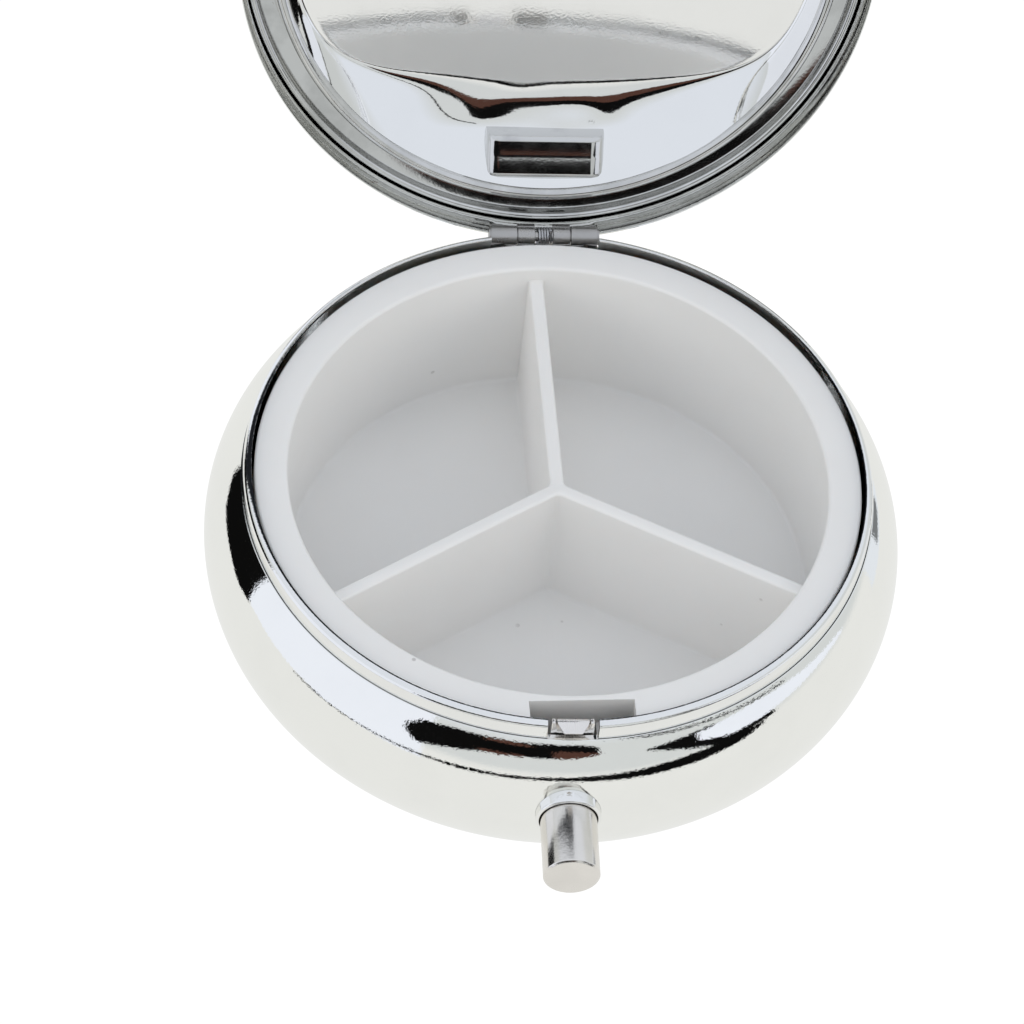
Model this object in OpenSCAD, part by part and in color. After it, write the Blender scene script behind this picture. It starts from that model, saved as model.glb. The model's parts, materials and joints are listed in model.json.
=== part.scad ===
// Round push-button pill box: pressed steel case and hinged lid around a white three-way tray.
// Millimetres. The origin is the middle of the resting face, +Z is up, the hinge is at +Y, the button at -Y.
// The lid is drawn closed and then turned open about the hinge.

/* [Case] */
// Diameter of the case at its widest line
case_d = 50; // [49.6:0.1:50.6]
// Height of the widest line above the resting face
belly_z = 6.4; // [6.2:0.1:6.6]
// Radius of the rounded side
side_r = 9; // [8.8:0.1:9.2]
// Radius of the rounding between the side and the flat bottom
foot_r = 3; // [2:0.25:4]
// Thickness of the sheet of the case
case_t = 0.5; // [0.4:0.05:0.6]

/* [Neck ring] */
// Outside diameter of the neck ring
ring_d = 45; // [44.9:0.05:45.1]
// Height of the top edge of the neck ring
ring_top = 13.95; // [13.8:0.05:14.1]
// Thickness of the neck ring
ring_t = 0.4; // [0.3:0.05:0.4]
// Outside radius of the curl along its top edge
curl_r = 0.5; // [0.45:0.05:0.55]
// Width of the notch for the latch tooth
notch_w = 3.6; // [3.4:0.1:4]

/* [Pill tray] */
// Outside diameter of the flange
flange_d = 43.4; // [43:0.1:43.5]
// Height of the top of the flange
flange_top = 13.4; // [13.2:0.05:13.4]
// Thickness of the flange
flange_t = 1.2; // [0.8:0.1:1.6]
// Inside diameter of the flange
tray_bore_d = 38.6; // [38:0.1:38.8]
// Height of the upper side of the floor
floor_z = 1.2; // [1:0.1:1.6]
// Thickness of the dividing walls
divider_t = 1.1; // [0.8:0.1:1.5]
// Distance from the flange down to the top of the dividing walls
divider_drop = 1.2; // [0.6:0.1:3]
// Number of compartments
compartments = 3; // [2:1:6]
// Angle by which the loose tray is turned in the ring
tray_turn = 2; // [0:0.5:2]
// Width of the flat pocket for the latch
pocket_w = 7.4; // [7.2:0.1:8]

/* [Push button] */
// Diameter of the button
button_d = 4; // [3.8:0.1:4]
// Height of the middle of the button
button_z = 7; // [6.8:0.1:7.2]
// Distance from the middle of the case to the end of the button
button_reach = 30.4; // [29.5:0.1:31]
// Radial clearance of the button and of its stem
running_gap = 0.07; // [0.05:0.01:0.09]

/* [Lid] */
// Angle of the open lid
open_angle = 114; // [90:1:120]
// Outside diameter of the lid
lid_d = 46.3; // [46.2:0.05:46.4]
// Thickness of the sheet of the lid
lid_t = 0.35; // [0.3:0.05:0.35]
// Height of the rim of the closed lid
rim_z = 12.5; // [12.5:0.05:12.6]
// Depth of the flat channel inside the rim
channel_depth = 3.4; // [3.3:0.05:3.45]
// Outside diameter of the raised bead
bead_d = 41.6; // [41.4:0.1:41.8]
// Rise of the polished dish from its edge to its middle
dish_rise = 1.6; // [1.2:0.1:1.8]

/* [Hinge] */
// Width over the outer knuckles
hinge_w = 7.8; // [7.4:0.1:8]
// Diameter of the knuckles
knuckle_d = 1.5; // [1.45:0.05:1.5]
// Diameter of the hinge pin
pin_d = 0.8; // [0.7:0.05:0.8]

/* [Hidden] */
$fn = 96;
far = 40; // longer than anything that it cuts

// Case profile: a rounding at the foot runs into the rounded side, which ends at the neck ring
ring_r = ring_d / 2;
side_c = [case_d / 2 - side_r, belly_z];
foot_c = [side_c[0] + sqrt(pow(side_r - foot_r, 2) - pow(belly_z - foot_r, 2)), foot_r];
foot_a = atan2(foot_c[1] - side_c[1], foot_c[0] - side_c[0]);

// Neck ring and tray
ring_bore_r = ring_r - ring_t;
ring_foot = 1.3; // height of the lower edge of the ring
notch_z = 12.4; // height of the bottom of the notch
hinge_gap_z = 11.7; // height of the bottom of the gap for the hinge
draft = 0.3; // taper of the inner wall of the tray
tray_wall = 1;
pocket_y = 19.8; // distance of the flat pocket from the middle

// Button group: distances are counted towards the front
shoulder_y = 24.3; // inner end of the button
bore_y = 27.3; // blind end of the spring's bore
spring_bore_r = 1.5;
stem_r = 0.7;
stem_end = 21.1;
stem_grip = 1; // length of the stem inside the button
collar_r = 2.3;
collar_front = 25.5;
collar_back = 23.4;
collar_flange = [2.7, 0.3]; // radius, thickness
tongue_y = 21.95; // outer face of the tongue
tongue_t = 0.4;
tongue_w = 3;
tooth_tip = 22.6;
tooth_z = 13.02; // underside of the tooth
tongue_top = 13.6;

// Lid, closed
lid_r = lid_d / 2;
skirt_bore_r = lid_r - lid_t;
corner_r = 2.4; // rounding between the skirt and the dome
corner_c = [lid_r - corner_r, 15.15];
dome_a = 84; // angle at which the rounding runs into the dome
dome_r = 202;
dome_c = [0, corner_c[1] + corner_r * sin(dome_a) - dome_r * cos(asin((corner_c[0] + corner_r * cos(dome_a)) / dome_r))];
channel_z = rim_z + channel_depth;
channel_r = skirt_bore_r - 0.33;
bead_r = bead_d / 2;
bead_w = 1.5;
bead_z = rim_z + 1.15; // lowest line of the bead
bead_in_r = bead_r - bead_w;
dish_z = 15.55; // edge of the dish

// Hinge
hinge_y = lid_r - 0.1;
hinge_z = rim_z + 0.2;
leaf_t = 0.4;
leaf_foot = 7.5; // lower end of the leaf of the case
inner_w = 3.6; // width over the knuckles of the lid
knuckle_gap = 0.2;
spring_w = 1.5; // room for the torsion spring between the knuckles of the lid
lid_leaf_y = 22.4; // outer face of the upright part of the lid's leaf
lid_leaf_t = 0.35;
lid_leaf_bend = 0.7; // step inwards under the rounded corner of the lid
lid_leaf_end = 14.8; // end of the lid's leaf under its cover
cover_y = [14.2, 18.6];
cover_w = 9.2;
cover_z = 14.5;
cover_round = 1.2;

STEEL = "silver";
CHROME = "gainsboro";
NICKEL = "darkgray";
WHITE = "white";

// ---- helpers ----

// Points along an arc of radius r about c, from angle a0 to a1
function arc(c, r, a0, a1, n = 16, first = 0) =
    [for (i = [first : n]) let (a = a0 + (a1 - a0) * i / n) [c[0] + r * cos(a), c[1] + r * sin(a)]];

function reversed(p) = [for (i = [len(p) - 1 : -1 : 0]) p[i]];

// Angle at which the side, pressed inwards by t, meets the neck ring
function mouth_a(t) = acos((ring_r - side_c[0]) / (side_r - t));

// One face of the case's sheet, t inside its outer face
function case_face(t) = concat(
    [[0, t]],
    arc(foot_c, foot_r - t, -90, foot_a, 8),
    arc(side_c, side_r - t, foot_a, 0, 12, 1),
    arc(side_c, side_r - t, 0, mouth_a(t), 14, 1));

// One face of the lid's sheet, t inside its outer face, from the rim to the middle
function lid_face(t) = concat(
    [[lid_r - t, rim_z]],
    arc(corner_c, corner_r - t, 0, dome_a, 12),
    arc(dome_c, dome_r - t, dome_a, 90, 8, 1));

// Height of the lower face of the dish at radius r
function dish(r) = dish_z + dish_rise * (1 - pow(r / bead_in_r, 4));

// Round rod about a line that runs towards the front, from distance d0 to d1
module rod_y(r, d0, d1, z) {
    translate([0, -d0, z])
        rotate([90, 0, 0])
            cylinder(r = r, h = d1 - d0);
}

// Turned piece about the same line, from points [radius, distance towards the front]
module turned_y(points, z) {
    translate([0, 0, z])
        rotate([90, 0, 0])
            rotate_extrude()
                polygon(points);
}

// Round rod along X from x0 to x1
module rod_x(r, x0, x1, y, z) {
    translate([x0, y, z])
        rotate([0, 90, 0])
            cylinder(r = r, h = x1 - x0);
}

// Box centred on X
module bar(w, y, z) {
    translate([-w / 2, y[0], z[0]])
        cube([w, y[1] - y[0], z[1] - z[0]]);
}

// Plate of width w along X with the given outline in Y and Z
module extruded_x(w, points) {
    translate([-w / 2, 0, 0])
        rotate([90, 0, 90])
            linear_extrude(height = w)
                polygon(points);
}

// Mirrored pair on both sides of the middle plane
module both_sides() {
    children();
    mirror([1, 0, 0])
        children();
}

// Coil of wire along Z: one closed tube swept along a helix
module coil(mean_r, wire_r, length, turns) {
    per_turn = 16;
    sides = 8;
    rings = turns * per_turn;
    points = [for (i = [0 : rings]) let (a = 360 * i / per_turn, h = length * i / rings)
        for (j = [0 : sides - 1]) let (b = 360 * j / sides, r = mean_r + wire_r * cos(b))
            [r * cos(a), r * sin(a), h + wire_r * sin(b)]];
    skin = [for (i = [0 : rings - 1]) for (j = [0 : sides - 1]) let (k = (j + 1) % sides)
        [i * sides + j, i * sides + k, (i + 1) * sides + k, (i + 1) * sides + j]];
    ends = [[for (j = [sides - 1 : -1 : 0]) j], [for (j = [0 : sides - 1]) rings * sides + j]];
    polyhedron(points, concat(skin, ends));
}

// Turns a piece of the closed lid to the open lid
module opened() {
    translate([0, hinge_y, hinge_z])
        rotate([-open_angle, 0, 0])
            translate([0, -hinge_y, -hinge_z])
                children();
}

// ---- case ----

// Pressed lower case, with the hole for the collar and the gap for the hinge
module base_shell() {
    color(CHROME)
        difference() {
            rotate_extrude()
                polygon(concat(case_face(0), reversed(case_face(case_t))));
            rod_y(collar_r, 20, far, button_z);
            intersection() {
                cylinder(r = ring_r + leaf_t, h = far);
                bar(hinge_w + 0.2, [0, far], [10.5, far]);
            }
            rod_x(knuckle_d / 2 + 0.25, -hinge_w / 2 - 0.4, hinge_w / 2 + 0.4, hinge_y, hinge_z);
        }
}

// Sheet ring whose top edge curls inwards
module neck_ring() {
    curl_c = [ring_r - curl_r, ring_top - curl_r];
    color(CHROME)
        difference() {
            rotate_extrude()
                polygon(concat(
                    [[ring_bore_r, ring_foot], [ring_r, ring_foot]],
                    arc(curl_c, curl_r, 0, 100, 8),
                    reversed(arc(curl_c, curl_r - ring_t, 0, 100, 4))));
            bar(notch_w, [-far, 0], [notch_z, far]);
            bar(hinge_w + 0.6, [0, far], [hinge_gap_z, far]);
            rod_y(stem_r + running_gap, 20, far, button_z);
            leaf_rivet_shanks();
        }
}

// White moulded tray: flange, drafted wall, floor and dividing walls in one piece
module pill_tray() {
    bore = tray_bore_d / 2;
    floor_r = bore - draft;
    edge = 0.2;
    wall_top = flange_top - divider_drop;
    color(WHITE)
        rotate([0, 0, tray_turn])
            difference() {
                union() {
                    rotate_extrude()
                        polygon([[0, case_t], [floor_r + 0.6, case_t], [floor_r + tray_wall, 0.9],
                            [bore + tray_wall, flange_top - flange_t], [flange_d / 2, flange_top - flange_t],
                            [flange_d / 2, flange_top - edge], [flange_d / 2 - edge, flange_top],
                            [bore + edge, flange_top], [bore, flange_top - edge],
                            [floor_r, floor_z], [0, floor_z]]);
                    for (i = [0 : compartments - 1])
                        rotate([0, 0, 90 + i * 360 / compartments])
                            translate([0, -divider_t / 2, floor_z - 0.2])
                                cube([bore + 0.2, divider_t, wall_top - floor_z + 0.2]);
                    translate([0, 0, floor_z - 0.2])
                        cylinder(r = divider_t * 0.8, h = wall_top - floor_z + 0.2);
                }
                bar(pocket_w, [-far, -pocket_y], [-1, far]);
            }
}

// Flanged bush in which the button slides
module button_collar() {
    color(CHROME)
        difference() {
            union() {
                rod_y(collar_r, collar_back, collar_front, button_z);
                rod_y(collar_flange[0], collar_back, collar_back + collar_flange[1], button_z);
            }
            rod_y(button_d / 2 + running_gap, 20, far, button_z);
        }
}

// Bracket inside the ring, with an ear on each side of the tongue
module latch_guide() {
    w = 6.4;
    window = tongue_w + 0.6;
    y = [-21.8, -21.5];
    z = [3.6, 11.6];
    ear_z = 8.4;
    color(STEEL)
        difference() {
            union() {
                bar(w, y, z);
                bar(window + 0.6, [y[0], -20.3], [ear_z, z[1]]);
            }
            bar(window, [-far, 0], [4.8, far]);
        }
}

// Curved leaf against the ring, with the two outer knuckles
module base_hinge_leaf() {
    color(STEEL)
        difference() {
            union() {
                intersection() {
                    difference() {
                        cylinder(r = ring_r + leaf_t, h = hinge_z);
                        cylinder(r = ring_r, h = far);
                    }
                    bar(hinge_w, [0, far], [leaf_foot, far]);
                }
                rod_x(knuckle_d / 2, -hinge_w / 2, hinge_w / 2, hinge_y, hinge_z);
            }
            bar(inner_w + 2 * knuckle_gap, [0, far], [hinge_gap_z, far]);
            translate([-0.6, 22, 10.2])
                cube([0.4, 2, 3]);
            rod_x(pin_d / 2, -far, far, hinge_y, hinge_z);
            leaf_rivet_shanks();
        }
}

// Two rods through the ring and the leaf
module leaf_rivet_shanks() {
    both_sides()
        rotate([0, 0, 180 - 6.5])
            rod_y(0.5, ring_bore_r - 0.02, ring_r + leaf_t, 9.3);
}

// Two rivets with flat heads
module hinge_leaf_rivets() {
    head_r = 0.85;
    head_t = 0.25;
    color(STEEL) {
        leaf_rivet_shanks();
        both_sides()
            rotate([0, 0, 180 - 6.5]) {
                rod_y(head_r, ring_bore_r - 0.02 - head_t, ring_bore_r - 0.02, 9.3);
                rod_y(head_r, ring_r + leaf_t, ring_r + leaf_t + head_t, 9.3);
            }
    }
}

// Pin with a small head at each end
module hinge_pin() {
    head_t = 0.15;
    color(NICKEL) {
        rod_x(pin_d / 2, -hinge_w / 2, hinge_w / 2, hinge_y, hinge_z);
        both_sides()
            rod_x(pin_d / 2 + 0.2, hinge_w / 2, hinge_w / 2 + head_t, hinge_y, hinge_z);
    }
}

// Torsion spring on the pin: a short coil, one leg down into the case and one along the open lid
module hinge_spring() {
    wire_r = 0.09;
    mean_r = 0.6;
    length = 1;
    color(NICKEL) {
        translate([-length / 2, hinge_y, hinge_z])
            rotate([0, 90, 0])
                coil(mean_r, wire_r, length, 5);
        translate([-0.4, 22.7, 10.6])
            cylinder(r = wire_r, h = 1.62, $fn = 16);
        opened()
            translate([0.4, hinge_y - 0.1, hinge_z + mean_r])
                rotate([90, 0, 0])
                    cylinder(r = wire_r, h = 1.4, $fn = 16);
    }
}

// Compression spring between the neck ring and the blind end of the button's bore
module button_spring() {
    wire_r = 0.15;
    slack = 0.03;
    near = ring_r + wire_r + slack;
    color(NICKEL)
        translate([0, -near, button_z])
            rotate([90, 0, 0])
                coil(1.1, wire_r, bore_y - wire_r - slack - near, 8);
}

// ---- push button and latch ----

// Round button with a chamfered end, bored from behind for the spring and the stem
module push_button() {
    r = button_d / 2;
    chamfer = 0.3;
    color(NICKEL)
        turned_y([[0, bore_y + stem_grip], [stem_r, bore_y + stem_grip], [stem_r, bore_y],
            [spring_bore_r, bore_y], [spring_bore_r, shoulder_y], [r, shoulder_y],
            [r, button_reach - chamfer], [r - chamfer, button_reach], [0, button_reach]], button_z);
}

// Straight stem from the button through the ring to the tongue
module button_stem() {
    color(STEEL)
        rod_y(stem_r, stem_end, bore_y + stem_grip, button_z);
}

// Strip with a tooth that slopes outwards through the notch
module latch_tongue() {
    tooth_root_w = 2.4;
    tooth_tip_w = 1.24;
    color(STEEL)
        difference() {
            union() {
                bar(tongue_w, [-tongue_y, -tongue_y + tongue_t], [5.4, tongue_top]);
                intersection() {
                    extruded_x(tongue_w, [[-tongue_y + 0.1, tooth_z], [-tooth_tip, tooth_z],
                        [-tooth_tip, tooth_z + 0.18], [-tongue_y, tongue_top], [-tongue_y + 0.1, tongue_top]]);
                    linear_extrude(height = far)
                        polygon([[-tooth_root_w / 2, -tongue_y + 0.2], [-tooth_root_w / 2, -tongue_y],
                            [-tooth_tip_w / 2, -tooth_tip], [tooth_tip_w / 2, -tooth_tip],
                            [tooth_root_w / 2, -tongue_y], [tooth_root_w / 2, -tongue_y + 0.2]]);
                }
            }
            rod_y(stem_r, 20, far, button_z);
        }
}

// Washer pressed on the stem behind the tongue
module stem_retainer() {
    thick = 0.3;
    color(STEEL)
        difference() {
            rod_y(1.25, tongue_y - tongue_t - thick, tongue_y - tongue_t, button_z);
            rod_y(stem_r, 20, far, button_z);
        }
}

// ---- lid ----

// Pressed outer lid: straight skirt, rounded corner and shallow dome, with a gap for the hinge
module lid_shell() {
    color(CHROME)
        opened()
            difference() {
                rotate_extrude()
                    polygon(concat(lid_face(0), reversed(lid_face(lid_t))));
                bar(hinge_w + 1, [0, far], [0, 14.25]);
            }
}

// Inner ring: flat channel next to the skirt, then a raised bead around the dish
module lid_frame_ring() {
    bead_c = [bead_r - bead_w / 2, bead_z + bead_w / 2];
    color(STEEL)
        opened()
            difference() {
                rotate_extrude()
                    polygon(concat(
                        [[channel_r, channel_z], [bead_r, channel_z]],
                        arc(bead_c, bead_w / 2, 0, -180, 12),
                        [[bead_in_r, dish_z + lid_t], [bead_in_r + lid_t, dish_z + lid_t]],
                        reversed(arc(bead_c, bead_w / 2 - lid_t, 0, -180, 8)),
                        [[bead_r - lid_t, channel_z + lid_t], [channel_r, channel_z + lid_t]]));
                bar(hinge_w + 0.2, [lid_leaf_y - lid_leaf_t - lid_leaf_bend - 0.1, far], [0, far]);
            }
}

// Polished dish inside the bead, steeper near its edge, with a window for the hinge cover
module lid_plate() {
    steps = 14;
    lower = [for (i = [0 : steps]) let (r = bead_in_r * (1 - pow(1 - i / steps, 2))) [r, dish(r)]];
    upper = [for (i = [steps : -1 : 0]) lower[i] + [0, lid_t]];
    color(CHROME)
        opened()
            difference() {
                rotate_extrude()
                    polygon(concat(lower, upper));
                bar(cover_w, cover_y, [0, far]);
            }
}

// Leaf of the lid: two knuckles, a strip over the ring, an upright that leans inwards and a flat end under the cover
module lid_hinge_leaf() {
    y = [lid_leaf_y - lid_leaf_t, lid_leaf_y];
    bend = lid_leaf_bend;
    bend_z = 15.3;
    top = channel_z + lid_t;
    strip_top = hinge_z + knuckle_d / 2;
    color(STEEL)
        opened()
            difference() {
                union() {
                    rod_x(knuckle_d / 2, -inner_w / 2, inner_w / 2, hinge_y, hinge_z);
                    bar(inner_w, [y[0], hinge_y], [strip_top - lid_leaf_t, strip_top]);
                    bar(inner_w, y, [strip_top - lid_leaf_t, 15]);
                    extruded_x(hinge_w, [[y[0], 14.3], [y[1], 14.3], [y[1], bend_z], [y[1] - bend, top + lid_leaf_t],
                        [lid_leaf_end, top + lid_leaf_t], [lid_leaf_end, top], [y[0] - bend, top], [y[0], bend_z - 0.1]]);
                }
                rod_x(pin_d / 2 + 0.05, -far, far, hinge_y, hinge_z);
                bar(spring_w, [y[0] - 1, far], [0, 14.3]);
            }
}

// Outline of the cover in Y and Z, t inside its outer face
function cover_outline(t, top) = concat(
    [[cover_y[0] + t, top[0]]],
    arc([cover_y[0] + cover_round, cover_z + cover_round], cover_round - t, 180, 270, 6),
    arc([cover_y[1] - cover_round, cover_z + cover_round], cover_round - t, 270, 360, 6),
    [[cover_y[1] - t, top[1]]]);

// Pressed housing over the end of the lid's leaf
module lid_hinge_cover() {
    color(CHROME)
        opened()
            difference() {
                extruded_x(cover_w, cover_outline(0, [16.9, channel_z + lid_t - 0.1]));
                extruded_x(cover_w - 2 * lid_t, cover_outline(lid_t, [far, far]));
            }
}

// Hook at the front of the skirt: an upright with a window for the tooth and a lip below it
module lid_catch() {
    w = 2.9;
    y = -22.75;
    lip_z = [12.72, 12.9];
    color(STEEL)
        opened()
            difference() {
                union() {
                    bar(w, [y, y + 0.25], [lip_z[0], 14.8]);
                    bar(w, [y, y + 0.5], lip_z);
                }
                bar(2, [-far, 0], [lip_z[1], 13.8]);
            }
}

base_shell();
neck_ring();
pill_tray();
button_collar();
latch_guide();
base_hinge_leaf();
hinge_leaf_rivets();
hinge_pin();
hinge_spring();
button_spring();
push_button();
button_stem();
latch_tongue();
stem_retainer();
lid_shell();
lid_frame_ring();
lid_plate();
lid_hinge_leaf();
lid_hinge_cover();
lid_catch();
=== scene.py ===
"""Looks of the round push-button pill box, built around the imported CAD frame.

Shapes are drawn in millimetres in the CAD's frame: the origin is the middle of the resting face, +Z is up,
the hinge is at +Y and the button at -Y. Pieces of the lid are drawn closed and then turned open.
"""

import json
import math

import bmesh
import bpy
from mathutils import Matrix, Vector

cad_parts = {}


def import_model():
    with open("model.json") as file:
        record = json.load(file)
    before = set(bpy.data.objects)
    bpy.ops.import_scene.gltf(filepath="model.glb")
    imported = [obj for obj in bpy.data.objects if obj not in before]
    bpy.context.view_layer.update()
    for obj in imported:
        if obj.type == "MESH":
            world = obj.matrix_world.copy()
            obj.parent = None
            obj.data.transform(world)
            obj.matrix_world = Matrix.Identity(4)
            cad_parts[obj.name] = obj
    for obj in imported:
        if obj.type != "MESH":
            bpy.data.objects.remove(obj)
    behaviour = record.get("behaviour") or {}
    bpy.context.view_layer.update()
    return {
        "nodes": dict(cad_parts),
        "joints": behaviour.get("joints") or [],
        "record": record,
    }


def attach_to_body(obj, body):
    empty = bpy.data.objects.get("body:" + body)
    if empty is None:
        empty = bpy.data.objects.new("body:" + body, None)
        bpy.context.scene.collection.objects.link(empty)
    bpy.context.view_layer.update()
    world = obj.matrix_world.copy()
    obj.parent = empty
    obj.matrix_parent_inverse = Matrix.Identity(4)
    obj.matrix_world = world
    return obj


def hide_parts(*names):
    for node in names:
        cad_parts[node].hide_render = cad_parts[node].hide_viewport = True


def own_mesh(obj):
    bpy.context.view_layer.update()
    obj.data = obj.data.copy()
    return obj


MM = 0.001
SEGMENTS = 288  # steps round each turned piece
FAR = 60  # longer than anything that it cuts

# Case and neck ring
CASE_R = 25
CASE_MOUTH_R = 22.53
BELLY_Z = 6.4
SIDE_R = 9
FOOT_R = 3
CASE_T = 0.5
RING_R = 22.5
RING_T = 0.4
RING_TOP = 13.95
CURL_R = 0.5

# Tray
FLANGE_R = 21.7
FLANGE_TOP = 13.4
FLANGE_T = 1.2
BORE_R = 19.3
BORE_FLOOR_R = 19.0
FLOOR_Z = 1.2
TRAY_WALL = 1.0
DIVIDER_TOP = 12.2
TRAY_TURN = 2

# Hinge
HINGE_Y, HINGE_Z = 23.05, 12.7
HINGE_GAP_X = 3.95  # half width of the gaps that it sits in

# Push button
BUTTON_Z = 7
DRILL_FROM = 20  # distance from the middle at which holes for the button start

# Lid, closed
LID_R = 23.15
LID_T = 0.35
RIM_Z = 12.5
CORNER_R = 2.4
CORNER = (20.75, 15.15)
DOME_R = 202
DOME_ANGLE = 84
CHANNEL_Z = 15.4  # height of the channel at the hem
CHANNEL_RISE = 0.25  # how much higher it is at the bead
HEM = (22.42, 14.95)  # round ridge between the channel and the skirt
HEM_R = 0.28
BEAD = (20.3, 14.2)
BEAD_R = 0.45
DISH_R = 19.85
DISH_Z = 14.15  # height of the dish at its edge
DISH_FLAT = 15.63  # height of its flat far half
DISH_SLOPE = 0.112  # slope of its near half, deeper towards the hinge
DISH_BEND_FROM = (-2, 4)  # where the flat half turns into the slope
DISH_RAMP_Y = 12.1  # line where it starts to rise towards the hinge
DISH_LIP_R = 19.1  # where its edge starts to turn down elsewhere
# Places where the dish is pressed out of shape: x, y, half width, half length, height
DISH_DENTS = (
    (-6.2, 16.7, 3.8, 1.8, 0.36), (-9.5, 13.6, 3.0, 1.4, -0.06), (1.8, 15.4, 2.4, 1.0, -0.10),
    (-2.0, 13.8, 2.0, 0.9, 0.05), (4.8, 16.2, 1.7, 1.4, 0.16), (10.5, 16.2, 3.0, 2.0, -0.10))


# ---- outlines ----


def arc(centre, radius, start, end, steps=12, first=0):
    """Points on an arc between two angles in degrees."""
    points = []
    for i in range(first, steps + 1):
        angle = math.radians(start + (end - start) * i / steps)
        points.append((centre[0] + radius * math.cos(angle), centre[1] + radius * math.sin(angle)))
    return points


def circle(centre, radius, sides):
    """Closed outline of a circle."""
    return arc(centre, radius, 0, 360 - 360 / sides, sides - 1)


def rounded(corners, closed=True, steps=5):
    """Line through corners (x, y, radius), with each corner rounded by its radius."""
    count = len(corners)
    points = []
    for i, (x, y, radius) in enumerate(corners):
        if radius == 0 or (not closed and i in (0, count - 1)):
            points.append((x, y))
            continue
        here = Vector((x, y))
        before = (Vector(corners[i - 1][:2]) - here).normalized()
        after = (Vector(corners[(i + 1) % count][:2]) - here).normalized()
        half = before.angle(after) / 2
        centre = here + (before + after).normalized() * radius / math.sin(half)
        start = here + before * radius / math.tan(half) - centre
        end = here + after * radius / math.tan(half) - centre
        turn = math.pi - 2 * half
        for k in range(steps + 1):
            part = k / steps
            point = (start * math.sin((1 - part) * turn) + end * math.sin(part * turn)) / math.sin(turn)
            points.append(tuple(centre + point))
    return points


def sheet(path, thickness):
    """Closed outline of a sheet: the path, and back along the same path moved to its left."""
    moved = []
    for i, point in enumerate(path):
        before = Vector(path[max(i - 1, 0)])
        after = Vector(path[min(i + 1, len(path) - 1)])
        along = (after - before).normalized()
        moved.append((point[0] - along.y * thickness, point[1] + along.x * thickness))
    return list(path) + moved[::-1]


# ---- meshes ----


def new_object(name, points, faces):
    """Mesh object from points in millimetres, with its faces turned outwards."""
    mesh = bpy.data.meshes.new(name)
    mesh.from_pydata([Vector(p) * MM for p in points], [], faces)
    work = bmesh.new()
    work.from_mesh(mesh)
    bmesh.ops.recalc_face_normals(work, faces=work.faces)
    work.to_mesh(mesh)
    work.free()
    obj = bpy.data.objects.new(name, mesh)
    bpy.context.scene.collection.objects.link(obj)
    return obj


def lathe(name, outline, segments=SEGMENTS):
    """Solid made by turning a closed outline of (radius, height) about Z."""
    points, rings = [], []
    for radius, height in outline:
        if radius < 1e-6:
            rings.append([len(points)] * segments)
            points.append((0, 0, height))
            continue
        rings.append([len(points) + i for i in range(segments)])
        for i in range(segments):
            angle = 2 * math.pi * i / segments
            points.append((radius * math.cos(angle), radius * math.sin(angle), height))
    faces = []
    for here, there in zip(rings, rings[1:] + rings[:1]):
        for i in range(segments):
            k = (i + 1) % segments
            face = list(dict.fromkeys((here[i], here[k], there[k], there[i])))
            if len(face) > 2:
                faces.append(face)
    return new_object(name, points, faces)


def loft(name, sections):
    """Solid through closed sections with the same number of points, capped at both ends."""
    count = len(sections[0])
    points = [p for section in sections for p in section]
    faces = [list(range(count)), list(range(len(points) - count, len(points)))]
    for s in range(len(sections) - 1):
        for i in range(count):
            k = (i + 1) % count
            faces.append((s * count + i, s * count + k, (s + 1) * count + k, (s + 1) * count + i))
    return new_object(name, points, faces)


def block(name, x, y, z):
    """Box between the given limits."""
    corners = ((x[0], y[0]), (x[1], y[0]), (x[1], y[1]), (x[0], y[1]))
    return loft(name, [[(*corner, height) for corner in corners] for height in z])


def prism_x(name, outline, x):
    """Solid with an outline in Y and Z between two values of X."""
    return loft(name, [[(value, a, b) for a, b in outline] for value in x])


def prism_y(name, outline, y):
    """Solid with an outline in X and Z between two values of Y."""
    return loft(name, [[(a, value, b) for a, b in outline] for value in y])


def turned_y(name, outline, segments=96):
    """Turned solid along the button's line, from (radius, distance towards the front)."""
    obj = lathe(name, outline, segments)
    obj.data.transform(Matrix.Translation((0, 0, BUTTON_Z * MM)) @ Matrix.Rotation(math.pi / 2, 4, "X"))
    return obj


def drill(radius, segments=48):
    """Tool that drills outwards along the button's line."""
    return turned_y("drill", [(0, DRILL_FROM), (radius, DRILL_FROM), (radius, FAR), (0, FAR)], segments)


def tube(name, path, radius, sides=14):
    """Round wire along a line of points."""
    sections = []
    side = None
    for i, point in enumerate(path):
        here = Vector(point)
        along = (Vector(path[min(i + 1, len(path) - 1)]) - Vector(path[max(i - 1, 0)])).normalized()
        if side is None:
            side = along.orthogonal().normalized()
        side = (side - along * side.dot(along)).normalized()
        up = along.cross(side)
        ring = []
        for k in range(sides):
            angle = 2 * math.pi * k / sides
            ring.append(here + (side * math.cos(angle) + up * math.sin(angle)) * radius)
        sections.append(ring)
    return loft(name, sections)


def ribbon(name, path, half_widths, thickness):
    """Bent strip: a line in Y and Z, with its own half width at each point."""
    faces_line = sheet(path, thickness)
    count = len(path)
    sections = []
    for i in range(count):
        outer, inner = faces_line[i], faces_line[2 * count - 1 - i]
        w = half_widths[i]
        sections.append([(-w, *outer), (w, *outer), (w, *inner), (-w, *inner)])
    return loft(name, sections)


def apply_modifiers(obj):
    """Bakes the modifiers into the mesh."""
    graph = bpy.context.evaluated_depsgraph_get()
    mesh = bpy.data.meshes.new_from_object(obj.evaluated_get(graph))
    obj.modifiers.clear()
    obj.data = mesh


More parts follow.
